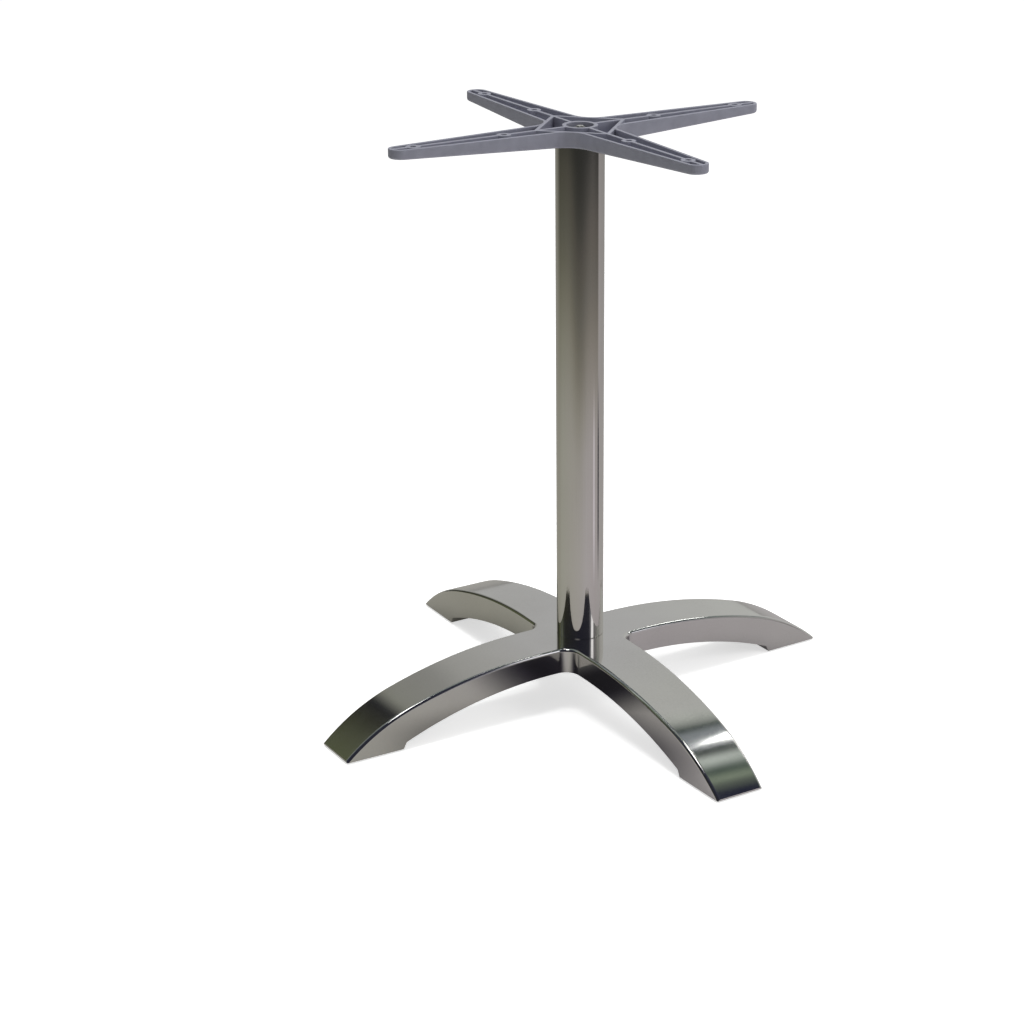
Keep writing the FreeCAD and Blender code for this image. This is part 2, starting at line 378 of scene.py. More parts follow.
def side_view(name: str, start: Run, stretches: Stretches, half_width: float) -> Object:
    """Makes a solid from a closed side view, extruded to both sides.

    Args:
        name: what the solid is called.
        start: where the outline starts.
        stretches: the stretches in order; the last point is joined to the start.
        half_width: how far the solid reaches to each side of the middle.

    Returns:
        The new solid, with its place in its mesh.
    """
    piece = outline(name, start, stretches, -half_width)
    first = Vector((start.x, -half_width, start.z))
    last = Vector((stretches[-1].x, -half_width, stretches[-1].z))
    with editing(piece):
        pick(piece, Part.POINTS,
             lambda point: min((point.co - first).length, (point.co - last).length) < WELD)
        bpy.ops.mesh.edge_face_add()
        bpy.ops.mesh.select_all(action="SELECT")
        bpy.ops.mesh.edge_face_add()
        bpy.ops.mesh.extrude_region_move(TRANSFORM_OT_translate={"value": (0, 2 * half_width, 0)})
    weld(piece)
    return piece


def lathe(name: str, start: Run, stretches: Stretches, sides: int) -> Object:
    """Turns an outline about the Z axis into a round solid.

    Args:
        name: what the solid is called.
        start: where the outline leaves the axis.
        stretches: its stretches in order, back to the axis.
        sides: how many flats stand for its round.

    Returns:
        The new solid.
    """
    piece = outline(name, start, stretches, 0.0)
    with editing(piece):
        bpy.ops.mesh.spin(steps=sides, angle=math.tau, center=(0, 0, 0), axis=(0, 0, 1), use_auto_merge=True)
    weld(piece)
    return piece


def threaded_rod(name: str, radius: float, pitch: float, low: float, high: float, chamfer: float) -> Object:
    """Models an upright rod on the Z axis with a thread over its whole length and chamfered ends.

    Args:
        name: what the rod is called.
        radius: outer radius of the thread.
        pitch: rise of one turn.
        low: height of its lower end.
        high: height of its upper end.
        chamfer: size of the chamfer at both ends.

    Returns:
        The new rod, with its place in its mesh.
    """
    root = radius - THREAD_DEPTH * pitch
    below = low - 2 * pitch
    flat = pitch / 8
    piece = outline(name, Run(root, below), [
        Run(root, below + 2 * flat), Run(radius, below + pitch / 2 + flat / 2),
        Run(radius, below + pitch / 2 + 3 * flat / 2), Run(root, below + pitch)], 0.0)
    select_only(piece)
    winding = piece.modifiers.new("winding", "SCREW")
    winding.angle = math.tau
    winding.screw_offset = pitch
    winding.iterations = math.ceil((high - below) / pitch) + 2
    winding.steps = THREAD_STEPS
    winding.render_steps = THREAD_STEPS
    winding.use_merge_vertices = True
    winding.merge_threshold = WELD
    bpy.ops.object.modifier_apply(modifier=winding.name)
    with editing(piece):
        trim(UP * low, -UP)
        trim(UP * high, UP)
    weld(piece)
    wide = 1.2 * radius
    blank = lathe("blank", Run(0.0, low - MM), [
        Run(radius - chamfer - MM, low - MM), Run(wide, low + wide - radius + chamfer),
        Run(wide, high - wide + radius - chamfer), Run(radius - chamfer - MM, high + MM),
        Run(0.0, high + MM)], BLANK_SIDES)
    combine(piece, blank, Way.KEEP)
    return piece


def quarter_wedge(piece: Object, root_half: float, taper: float) -> None:
    """Trims a leg or arm along X to its tapered width and to its own quarter of the hub.

    Args:
        piece: the solid, drawn wider than it ends up.
        root_half: half width on the column axis.
        taper: angle by which each side leans in towards the end.
    """
    with editing(piece):
        for side in (1, -1):
            trim(Vector((0, side * root_half, 0)), Vector((math.sin(taper), side * math.cos(taper), 0)))
        for side in (1, -1):
            trim(Vector((0, 0, 0)), Vector((-1, side, 0)), False)
        pick(piece, Part.FACES, lambda face: face.calc_center_median().x < WELD)
        bpy.ops.mesh.delete(type="FACE")
        bpy.ops.mesh.select_all(action="SELECT")
        bpy.ops.mesh.delete_loose()


def upright(edge: bmesh.types.BMEdge) -> bool:
    """Tells whether an edge stands upright."""
    run = edge.verts[1].co - edge.verts[0].co
    return Vector((run.x, run.y)).length < WELD < abs(run.z)


def round_edges(piece: Object, wanted: Callable[[Any], bool], size: float, steps: int) -> None:
    """Rounds the edges that pass a test, in the mesh in edit mode."""
    pick(piece, Part.EDGES, wanted)
    bpy.ops.mesh.bevel(offset=size, segments=steps, affect="EDGES", clamp_overlap=False)


def round_upright_edges(piece: Object, near: float, far: float, size: float, steps: int) -> None:
    """Rounds the upright edges that stand between two distances from the column axis."""
    with editing(piece):
        round_edges(piece, lambda edge: upright(edge) and near < edge.verts[0].co.xy.length < far,
                    size, steps)


def wall_meets(edge: bmesh.types.BMEdge, facing: Callable[[float], bool]) -> bool:
    """Tells whether an edge lies between an upright wall and a face whose slope passes a test.

    Args:
        edge: the edge.
        facing: the test of a slope, 1 for a face that looks up and -1 for one that looks down.

    Returns:
        Whether it does.
    """
    slopes = [face.normal.z for face in edge.link_faces]
    if len(slopes) != 2:
        return False
    return min(abs(slope) for slope in slopes) < UPRIGHT_SLOPE and any(facing(slope) for slope in slopes)


def finished(piece: Object, name: str, angle: float) -> Object:
    """Names a piece and shades it smooth, with flat faces kept flat by weighted normals.

    Args:
        piece: the modelled piece.
        name: its name.
        angle: the sharpest angle that is shaded smooth.

    Returns:
        The piece.
    """
    piece.name = name
    select_only(piece)
    bpy.ops.object.shade_smooth_by_angle(angle=angle)
    weighting = piece.modifiers.new("weighting", "WEIGHTED_NORMAL")
    weighting.keep_sharp = True
    bpy.ops.object.modifier_apply(modifier=weighting.name)
    return piece


def dress(piece: Object, material: Material) -> None:
    """Gives a piece one material all over."""
    piece.data.materials.clear()
    piece.data.materials.append(material)


def place(piece: Object, material: Material, body: str, node: str, slot: str) -> None:
    """Dresses a piece, lets it ride on a body in the place of a CAD node, and reports it.

    Args:
        piece: the finished piece.
        material: its finish.
        body: the body that carries it.
        node: the CAD node that it replaces.
        slot: the material slot that it fills; not used.
    """
    dress(piece, material)
    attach(piece, body)
    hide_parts(node)
    LOG.info("%s: %d faces, rides on %s", piece.name, len(piece.data.polygons), body)


# Finishes

def coated(material: Material, metallic: float, links: dict[str, NodeSocket]) -> Material:
    """Wires a finish into a material's own shader.

    Args:
        material: the material.
        metallic: 1 for bare metal, 0 for plastic.
        links: the socket for each input of the shader that varies over the surface.

    Returns:
        The material.
    """
    shader = material.node_tree.nodes["Principled BSDF"]
    shader.inputs["Metallic"].default_value = metallic
    for name, socket in links.items():
        material.node_tree.links.new(socket, shader.inputs[name])
    return material


@dataclass(frozen=True)
class PolishedMetal:
    """Aluminium, ground and buffed to a mirror. The eye sees its surroundings, a little blurred by haze."""

    name: str
    bright: str
    dull: str
    roughness: float
    haze: float
    lines_mm: tuple[float, float, float]
    wave_mm: float
    wave_depth_mm: float

    def material(self) -> Material:
        """Builds the mirror with its buffing lines, haze and the slow waves of a hand-held surface.

        Returns:
            The material. Its buffing lines are drawn coarser than real ones, so that they show.
        """
        material = new_material(self.name)
        tree = material.node_tree
        spot = add_node(tree, "TexCoord", {}, {}, "Object")
        per_line = [1 / (size * MM) for size in self.lines_mm]
        along = add_node(tree, "Mapping", {"vector_type": "POINT"}, {"Vector": spot, "Scale": per_line})
        lines = add_node(tree, "TexNoise", {}, {
            "Vector": along, "Scale": 1.0, "Detail": 3.0, "Roughness": 0.6})
        waves = add_node(tree, "TexNoise", {}, {
            "Vector": spot, "Scale": 1 / (self.wave_mm * MM), "Detail": 1.0, "Roughness": 0.4})
        clouded = add_node(tree, "Math", TIMES, {0: lines, 1: waves})
        blur = add_node(tree, "MapRange", {}, {
            "Value": clouded, "From Min": 0.1, "From Max": 0.45,
            "To Min": self.roughness, "To Max": self.roughness + self.haze})
        tint = add_node(tree, "Mix", BLEND, {"Factor": clouded, "A": self.bright, "B": self.dull})
        fine = add_node(tree, "Bump", {}, {"Height": lines, "Strength": 0.03, "Distance": 0.01 * MM})
        slow = add_node(tree, "Bump", {}, {
            "Height": waves, "Strength": 1.0, "Distance": self.wave_depth_mm * MM, "Normal": fine})
        return coated(material, 1.0, {"Base Color": tint, "Roughness": blur, "Normal": slow})


@dataclass(frozen=True)
class GrainyFinish:
    """A finish with a fine grain: cast metal, plating or plastic. The eye sees soft, mottled shine."""

    name: str
    light: str
    dark: str
    metallic: float
    roughness: float
    spread: float
    mottle_mm: float
    grain_mm: float
    grain_depth_mm: float

    def material(self) -> Material:
        """Builds the mottled colour, the uneven shine and the grain.

        Returns:
            The material.
        """
        material = new_material(self.name)
        tree = material.node_tree
        spot = add_node(tree, "TexCoord", {}, {}, "Object")
        mottle = add_node(tree, "TexNoise", {}, {
            "Vector": spot, "Scale": 1 / (self.mottle_mm * MM), "Detail": 4.0, "Roughness": 0.55})
        grain = add_node(tree, "TexNoise", {}, {
            "Vector": spot, "Scale": 1 / (self.grain_mm * MM), "Detail": 2.0, "Roughness": 0.5})
        tint = add_node(tree, "Mix", BLEND, {"Factor": mottle, "A": self.dark, "B": self.light})
        shine = add_node(tree, "MapRange", {}, {
            "Value": mottle, "From Min": 0.3, "From Max": 0.7,
            "To Min": self.roughness - self.spread, "To Max": self.roughness + self.spread})
        bump = add_node(tree, "Bump", {}, {
            "Height": grain, "Strength": 0.6, "Distance": self.grain_depth_mm * MM})
        return coated(material, self.metallic, {"Base Color": tint, "Roughness": shine, "Normal": bump})


class Finish(Enum):
    """The finishes of the table base."""

    POLISHED_CASTING = PolishedMetal(
        name="polished_cast_aluminium", bright="#DCDBD8", dull="#C6C5C1", roughness=0.07, haze=0.07,
        lines_mm=(2.4, 2.4, 2.4), wave_mm=55.0, wave_depth_mm=0.05)
    POLISHED_TUBE = PolishedMetal(
        name="polished_drawn_aluminium", bright="#DAD8D3", dull="#C8C5BE", roughness=0.05, haze=0.05,
        lines_mm=(0.9, 0.9, 160.0), wave_mm=120.0, wave_depth_mm=0.01)
    CAST_SATIN = GrainyFinish(
        name="tumbled_cast_aluminium", light="#B0B1BE", dark="#9899A7", metallic=0.5, roughness=0.42,
        spread=0.07, mottle_mm=14.0, grain_mm=1.1, grain_depth_mm=0.06)
    ZINC = GrainyFinish(
        name="zinc_plated_steel", light="#C9C8C2", dark="#A9AAA6", metallic=1.0, roughness=0.28,
        spread=0.06, mottle_mm=6.0, grain_mm=0.5, grain_depth_mm=0.01)
    BLACK_PLASTIC = GrainyFinish(
        name="moulded_black_polyamide", light="#232323", dark="#171717", metallic=0.0, roughness=0.5,
        spread=0.06, mottle_mm=5.0, grain_mm=0.4, grain_depth_mm=0.03)


# Base casting

@dataclass
class BaseCasting:
    """One-piece polished base: a flat hub and four arched legs, hollow below."""

    reach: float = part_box("base_casting")[1].x
    hub_height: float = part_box("column_tube")[0].z
    spigot_top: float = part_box("base_casting")[1].z
    sole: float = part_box("base_casting")[0].z
    hub_flat: float = 74.0 * MM
    shoulder_drop: float = 26.8 * MM
    toe_length: float = 90.0 * MM
    toe_blunt: float = 2.0 * MM
    sole_length: float = 75.0 * MM
    heel_step: float = 8.0 * MM
    heel_slant: float = 4.0 * MM
    hub_depth: float = 31.0 * MM
    root_half: float = 38.0 * MM
    tip_half: float = 32.0 * MM
    drawn_half: float = 57.0 * MM
    corner_radius: float = 18.0 * MM
    arch_margin: float = 4.0 * MM
    edge_radius: float = 4.0 * MM
    wall: float = 5.0 * MM
    toe_solid: float = 25.0 * MM
    rib_width: float = 5.0 * MM
    rib_depth: float = 9.0 * MM
    boss_radius: float = 25.0 * MM
    boss_depth: float = 15.0 * MM
    spigot_radius: float = 26.8 * MM
    rod_bore: float = 5.5 * MM
    glide_setback: float = 52.0 * MM
    glide_boss_radius: float = 11.0 * MM
    glide_boss_low: float = 11.3 * MM
    glide_bore: float = 4.05 * MM
    glide_bore_top: float = 28.3 * MM
    glide_bore_sides: int = 32
    deep: float = 20.0 * MM
    crown_steps: int = 60
    toe_steps: int = 48
    arch_steps: int = 64
    corner_steps: int = 14
    edge_steps: int = 6

    def __post_init__(self) -> None:
        """Works out the crown line and the arch."""
        self.shoulder = self.reach - self.toe_length
        run = self.shoulder - self.hub_flat
        crown_radius = (run ** 2 + self.shoulder_drop ** 2) / (2 * self.shoulder_drop)
        self.crown_centre = Vector((self.hub_flat, self.hub_height - crown_radius))
        self.shoulder_point = Vector((self.shoulder, self.hub_height - self.shoulder_drop))
        self.inward = (self.crown_centre - self.shoulder_point).normalized()
        chord = Vector((self.reach, self.sole + self.toe_blunt)) - self.shoulder_point
        self.toe_radius = chord.length_squared / (2 * self.inward.dot(chord))
        self.toe_centre = self.shoulder_point + self.inward * self.toe_radius
        self.taper = math.atan2(self.root_half - self.tip_half, self.reach)
        self.heel = self.reach - self.sole_length
        hub_corner = self.root_half / (1 + math.tan(self.taper))
        self.arch_start = hub_corner + self.corner_radius + self.arch_margin
        self.arch_end = Vector((self.heel - self.heel_slant, self.sole + self.heel_step))
        rise = self.hub_height - self.hub_depth - self.arch_end.y
        self.arch_radius = ((self.arch_end.x - self.arch_start) ** 2 + rise ** 2) / (2 * rise)
        self.glide_distance = self.reach - self.glide_setback

    def crown(self, depth: float, low: float) -> Stretches:
        """Gives the crown line, set in by a depth, from the hub's middle to a low point of the toe.

        Args:
            depth: how far the line lies below the crown.
            low: height where the toe's arc ends.

        Returns:
            The stretches after the point on the column axis.
        """
        bend = self.shoulder_point + self.inward * depth
        radius = self.toe_radius - depth
        toe_x = self.toe_centre.x + math.sqrt(radius ** 2 - (low - self.toe_centre.y) ** 2)
        return [
            Run(self.hub_flat, self.hub_height - depth),
            Bow(bend.x, bend.y, self.crown_centre.x, self.crown_centre.y, self.crown_steps),
            Bow(toe_x, low, self.toe_centre.x, self.toe_centre.y, self.toe_steps),
        ]

    def below_crown(self, name: str, depth: float, low: float, half_width: float) -> Object:
        """Models what lies under the crown line of one leg.

        Args:
            name: what the solid is called.
            depth: how far its top lies below the crown.
            low: height of its flat underside.
            half_width: how far it reaches to each side.

        Returns:
            The solid.
        """
        stretches = self.crown(depth, low) + [Run(0.0, low)]
        return side_view(name, Run(0.0, self.hub_height - depth), stretches, half_width)

    def outside(self) -> Object:
        """Models the outer form: legs with their arch, rounded hub corners and rounded crown edges.

        Returns:
            The solid base.
        """
        underside = self.hub_height - self.hub_depth
        stretches = self.crown(0.0, -self.deep) + [
            Run(self.heel, -self.deep),
            Run(self.heel, self.sole),
            Run(self.arch_end.x, self.arch_end.y),
            Bow(self.arch_start, underside, self.arch_start, underside - self.arch_radius, self.arch_steps),
            Run(0.0, underside),
        ]
        leg = side_view("base", Run(0.0, self.hub_height), stretches, self.drawn_half)
        quarter_wedge(leg, self.root_half, self.taper)
        base = four_ways(leg)
        corner = self.corner_radius / math.tan(QUARTER / 2 + self.taper)
        round_upright_edges(base, self.root_half, self.arch_start, corner, self.corner_steps)
        with editing(base):
            round_edges(base, lambda edge: wall_meets(edge, lambda slope: slope > LEANING_SLOPE),
                        self.edge_radius, self.edge_steps)
            trim(UP * self.sole, -UP)
            for away in (Vector((1, 0, 0)), Vector((0, 1, 0)), Vector((-1, 0, 0)), Vector((0, -1, 0))):
                trim(away * self.reach, away)
        weld(base)
        return base

    def hollow(self, name: str) -> Object:
        """Models the room inside one leg, a wall's thickness from its crown and sides.

        Args:
            name: what the solid is called.

        Returns:
            The solid.
        """
        room = self.below_crown(name, self.wall, -self.deep, self.drawn_half)
        quarter_wedge(room, self.root_half - self.wall / math.cos(self.taper), self.taper)
        return room

    def channel(self) -> Object:
        """Models the star of hollows under the legs and the hub, with ribs and the hub's boss left standing.

        Returns:
            The solid that is cut out of the base.
        """
        room = self.hollow("channel")
        with editing(room):
            trim(AHEAD * (self.heel - self.heel_slant - self.wall), AHEAD)
        channel = four_ways(room)
        for quarter in range(4):
            rib = self.below_crown("rib", self.wall - MM, self.sole, self.rib_width / 2)
            below = self.below_crown("below", self.wall + self.rib_depth, -self.deep, self.rib_width)
            combine(rib, below, Way.CUT)
            turn(rib, quarter)
            combine(channel, rib, Way.CUT)
        boss = rod("hub_boss", self.boss_radius, self.hub_height - self.boss_depth, self.hub_height)
        combine(channel, boss, Way.CUT)
        return channel

    def pocket(self) -> Object:
        """Models the hollow in one foot, with the boss that the glide screws into left standing.

        Returns:
            The solid that is cut out of the foot.
        """
        pocket = self.hollow("pocket")
        with editing(pocket):
            trim(AHEAD * (self.reach - self.toe_solid), AHEAD)
            trim(AHEAD * (self.heel + self.wall), -AHEAD)
        boss = rod("boss", self.glide_boss_radius, self.glide_boss_low, self.hub_height, self.glide_distance)
        combine(pocket, boss, Way.CUT)
        return pocket

    def build(self) -> Object:
        """Models the whole casting.

        Returns:
            The finished piece.
        """
        base = self.outside()
        combine(base, self.channel(), Way.CUT)
        combine(base, four_ways(self.pocket()), Way.CUT)
        spigot = rod("spigot", self.spigot_radius, self.hub_height - self.wall / 2, self.spigot_top)
        combine(base, spigot, Way.ADD)
        combine(base, rod("rod_bore", self.rod_bore, 0.0, 2 * self.hub_height), Way.CUT)
        bore = rod("bore", self.glide_bore, 0.0, self.glide_bore_top, self.glide_distance,
                   self.glide_bore_sides)
        combine(base, four_ways(bore), Way.CUT)
        weld(base)
        return finished(base, "polished_base", CASTING_SMOOTH)


# Column

@dataclass
class Column:
    """Polished tube that stands on the hub and carries the spider."""

    radius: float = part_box("column_tube")[1].x
    low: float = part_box("column_tube")[0].z
    high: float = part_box("column_tube")[1].z
    wall: float = 2.0 * MM
    edge: float = 0.9 * MM
    edge_steps: int = 3
    sides: int = 160
    rings: int = 24

    def build(self) -> Object:
        """Models the tube: end faces inset to the wall, opened, bridged inside, and edges broken.

        Returns:
            The finished piece.
        """
        tube = rod("column", self.radius, self.low, self.high, sides=self.sides)
        with editing(tube):
            pick(tube, Part.FACES, lambda face: abs(face.normal.z) > LEVEL_SLOPE)
            bpy.ops.mesh.inset(thickness=self.wall, use_individual=True)
            bpy.ops.mesh.delete(type="FACE")
            pick(tube, Part.EDGES, lambda edge: len(edge.link_faces) == 1)
            bpy.ops.mesh.bridge_edge_loops()
            round_edges(tube, lambda edge: wall_meets(edge, lambda slope: abs(slope) > LEVEL_SLOPE),
                        self.edge, self.edge_steps)
            pick(tube, Part.EDGES, upright)
            bpy.ops.mesh.subdivide(number_cuts=self.rings)
        weld(tube)
        return finished(tube, "polished_column", CASTING_SMOOTH)


# Top spider

@dataclass
class TopSpider:
    """One-piece cast spider: four tapered arms with rim walls, ribs and screw bosses, open side up."""

    reach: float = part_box("top_spider")[1].x
    top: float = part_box("top_spider")[1].z
    spigot_low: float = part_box("top_spider")[0].z
    underside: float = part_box("column_tube")[1].z
    pocket_floor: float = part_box("top_washer")[0].z
    root_half: float = 26.5 * MM
    tip_radius: float = 13.0 * MM
    tip_depth: float = 11.0 * MM
    tip_share: float = 0.995
    corner_radius: float = 25.0 * MM
    edge_radius: float = 2.5 * MM
    flat: float = 40.0 * MM
    rim: float = 4.0 * MM
    rib: float = 4.5 * MM
    floor: float = 4.0 * MM
    diamond_reach: float = 60.0 * MM
    boss_radius: float = 8.5 * MM
    hole_radius: float = 3.5 * MM
    hole_setback: float = 30.0 * MM
    mid_hole: float = 102.5 * MM
    pocket_radius: float = 16.0 * MM
    pocket_wall: float = 5.0 * MM
    spigot_radius: float = 26.8 * MM
    rod_bore: float = 5.5 * MM
    broken_edge: float = 0.7 * MM
    sliver: float = 0.16 * MM
    over: float = 20.0 * MM
    corner_steps: int = 12
    tip_steps: int = 12
    edge_steps: int = 4
    broken_steps: int = 2
    pocket_sides: int = 64
    boss_sides: int = 40
    hole_sides: int = 28

    def __post_init__(self) -> None:
        """Works out how the arms' sides lean in to touch their round ends."""
        end_centre = self.reach - self.tip_radius
        lean = math.acos(self.tip_radius / math.hypot(self.root_half, end_centre))
        self.taper = lean - math.atan2(end_centre, self.root_half)
        self.holes = (self.reach - self.hole_setback, self.mid_hole)

    def star(self, name: str, inset: float, low: float, high: float, lift: float) -> Object:
        """Models four arms, set in all round, thinner towards their ends.

        Args:
            name: what the solid is called.
            inset: how far its sides lie inside the spider's.
            low: height of its lower side at the hub.
            high: height of its upper side.
            lift: how far its sloping underside lies above the spider's.

        Returns:
            The solid.
        """
        end = self.reach - inset
        arm = side_view(name, Run(0.0, high), [
            Run(end, high), Run(end, low - self.over), Run(0.0, low - self.over)], 2 * self.root_half)
        quarter_wedge(arm, self.root_half - inset / math.cos(self.taper), self.taper)
        star = four_ways(arm)
        inner = (self.corner_radius + inset) / math.tan(QUARTER / 2 + self.taper)
        round_upright_edges(star, MM, 2 * self.root_half, inner, self.corner_steps)
        half_end = (self.tip_radius - inset) * math.tan((QUARTER - self.taper) / 2)
        round_upright_edges(star, 2 * self.root_half, 2 * self.reach, self.tip_share * half_end,
                            self.tip_steps)
        weld(star)
        tip = self.top - self.tip_depth + lift
        below = side_view("below", Run(0.0, low), [
            Run(self.flat, low), Run(self.reach, tip), Run(self.reach + self.over, tip),
            Run(self.reach + self.over, low - 2 * self.over), Run(0.0, low - 2 * self.over)], 2 * self.reach)
        quarter_wedge(below, 2 * self.reach, 0.0)
        combine(star, four_ways(below), Way.CUT)
        weld(star)
        return star

    def ribs(self) -> list[Object]:
        """Models what stands in the hollows.

        Returns:
            Two bars along the arms, the diamond round the middle, and the bosses of the nut and the screws.
        """
        low = self.underside
        high = self.top + 2 * self.over
        bars = [side_view("bar", Run(-self.reach, low), [
            Run(self.reach, low), Run(self.reach, high), Run(-self.reach, high)],
            self.rib / 2) for _ in range(2)]
        turn(bars[1], 1)
        half_diagonal = self.rib / math.sqrt(2)
        diamond = rod("diamond", self.diamond_reach + half_diagonal, low, high, sides=4)
        inside = rod("inside", self.diamond_reach - half_diagonal, low - self.over, high + self.over,
                     sides=4)
        combine(diamond, inside, Way.CUT)
        pieces = bars + [diamond, rod("nut_boss", self.pocket_radius + self.pocket_wall, low, high)]
        for distance in self.holes:
            pieces += ring(rod("screw_boss", self.boss_radius, low, high, distance, self.boss_sides))
        return pieces

    def cutter(self) -> Object:
        """Models all that is cut out of the spider: the hollows, screw holes, nut pocket and the rod's bore.

        Returns:
            The solids in one mesh.
        """
        high = self.top + self.over
        low = self.spigot_low - self.over
        hollows = self.star("hollows", self.rim, self.underside + self.floor, high, self.floor)
        for piece in self.ribs():
            combine(hollows, piece, Way.CUT)
        weld(hollows)
        pocket = lathe("pocket", Run(0.0, low), [
            Run(self.rod_bore, low), Run(self.rod_bore, self.pocket_floor),
            Run(self.pocket_radius, self.pocket_floor), Run(self.pocket_radius, high), Run(0.0, high)],
            self.pocket_sides)
        holes = [four_ways(rod("hole", self.hole_radius, low, high, distance, self.hole_sides))
                 for distance in self.holes]
        return joined([hollows, pocket] + holes)

    def build(self) -> Object:
        """Models the whole casting.

        Returns:
            The finished piece.
        """
        spider = self.star("spider", 0.0, self.underside, self.top, 0.0)
        with editing(spider):
            round_edges(spider, lambda edge: wall_meets(edge, lambda slope: slope < -LEANING_SLOPE),
                        self.edge_radius, self.edge_steps)
        weld(spider)
        spigot = rod("spigot", self.spigot_radius, self.spigot_low, self.underside + self.floor / 2)
        combine(spider, spigot, Way.ADD)
        combine(spider, self.cutter(), Way.CUT)
        with editing(spider):
            bpy.ops.mesh.dissolve_degenerate(threshold=self.sliver)
        weld(spider)
        with editing(spider):
            bpy.ops.mesh.quads_convert_to_tris(quad_method="BEAUTY", ngon_method="BEAUTY")
            round_edges(spider, lambda edge: wall_meets(edge, lambda slope: slope > LEVEL_SLOPE)
                        and edge.verts[0].co.z > self.top - WELD, self.broken_edge, self.broken_steps)
        weld(spider)
        return finished(spider, "cast_spider", CASTING_SMOOTH)


# Threaded rods and glides

@dataclass
class TieRod:
    """Threaded rod that clamps base, column and spider together."""

    radius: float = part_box("tie_rod")[1].x
    low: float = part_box("tie_rod")[0].z
    high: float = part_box("tie_rod")[1].z
    pitch: float = 1.5 * MM
    chamfer: float = 1.0 * MM

    def build(self) -> Object:
        """Models the rod with its thread."""
        piece = threaded_rod("threaded_tie_rod", self.radius, self.pitch, self.low, self.high, self.chamfer)
        return finished(piece, "threaded_tie_rod", THREAD_SMOOTH)


@dataclass
class Glide:
    """Levelling glide in one foot: a threaded stud moulded into a round plastic pad."""

    quarter: int
    distance: float = 293.0 * MM
    pad_radius: float = 14.0 * MM
    pad_rim: float = 5.0 * MM
    pad_edge: float = 1.5 * MM
    pad_sides: int = 56
    edge_steps: int = 5
    collar_radius: float = 8.0 * MM
    collar_top: float = 11.0 * MM
    socket_sides: int = 40
    stud_radius: float = 4.0 * MM
    stud_low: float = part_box("glide_stud_1")[0].z
    stud_high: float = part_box("glide_stud_1")[1].z
    stud_pitch: float = 1.25 * MM
    stud_chamfer: float = 0.8 * MM
    rounding: float = 0.8 * MM
    rounding_steps: int = 4

    def stud(self) -> Object:
        """Models the stud with its thread."""
        piece = threaded_rod("stud", self.stud_radius, self.stud_pitch, self.stud_low, self.stud_high,
                             self.stud_chamfer)
        return self.put(piece, f"threaded_stud_{self.quarter + 1}")

    def pad(self) -> Object:
        """Models the pad, with a socket for its stud.

        Returns:
            The finished piece.
        """
        foot = self.pad_radius - self.pad_edge
        rim = self.pad_radius - self.rounding
        neck = self.collar_radius - self.rounding
        rim_low = self.pad_rim - self.rounding
        neck_low = self.collar_top - self.rounding
        piece = lathe("pad", Run(0.0, 0.0), [
            Run(foot, 0.0), Bow(self.pad_radius, self.pad_edge, foot, self.pad_edge, self.edge_steps),
            Run(self.pad_radius, rim_low), Bow(rim, self.pad_rim, rim, rim_low, self.rounding_steps),
            Run(self.collar_radius, (self.pad_rim + self.collar_top) / 2), Run(self.collar_radius, neck_low),
            Bow(neck, self.collar_top, neck, neck_low, self.rounding_steps),
            Run(0.0, self.collar_top)], self.pad_sides)
        socket = rod("socket", self.stud_radius, self.stud_low, 2 * self.collar_top, sides=self.socket_sides)
        combine(piece, socket, Way.CUT)
        return self.put(piece, f"plastic_glide_{self.quarter + 1}")

    def put(self, piece: Object, name: str) -> Object:
        """Moves a piece from the column axis to its foot and finishes it.

        Args:
            piece: the piece, modelled on the column axis.
            name: its name.

        Returns:
            The finished piece.
        """
        with editing(piece):
            bpy.ops.transform.translate(value=(self.distance, 0, 0))
        turn(piece, self.quarter)
        return finished(piece, name, THREAD_SMOOTH)


# Studio

@dataclass(frozen=True)
class SoftBox:
    """A soft lamp, with its places given as metres right of the column, beyond it and up."""

    name: str
    at: tuple[float, float, float]
    aim: tuple[float, float, float]
    size: tuple[float, float]
    power: float
    mirrored: bool = True


SOFT_BOXES = (
    SoftBox("far_strip", at=(2.1, 1.37, 3.0), aim=(2.1, 1.36, 0.0), size=(1.4, 0.26), power=9.0),
    SoftBox("near_strip", at=(0.78, 0.53, 3.0), aim=(0.78, 0.52, 0.0), size=(0.96, 0.12), power=3.5),
    SoftBox("side_softbox", at=(3.2, -1.63, 1.9), aim=(0.0, 0.0, 0.6), size=(0.75, 2.2), power=36.0,
            mirrored=False),
    SoftBox("top_panel", at=(-0.36, -0.60, 3.0), aim=(-0.36, -0.59, 0.0), size=(0.70, 0.90), power=10.0),
    SoftBox("over_panel", at=(-0.1, -0.1, 3.0), aim=(-0.1, -0.09, 0.0), size=(1.0, 1.0), power=24.0,
            mirrored=False),
)


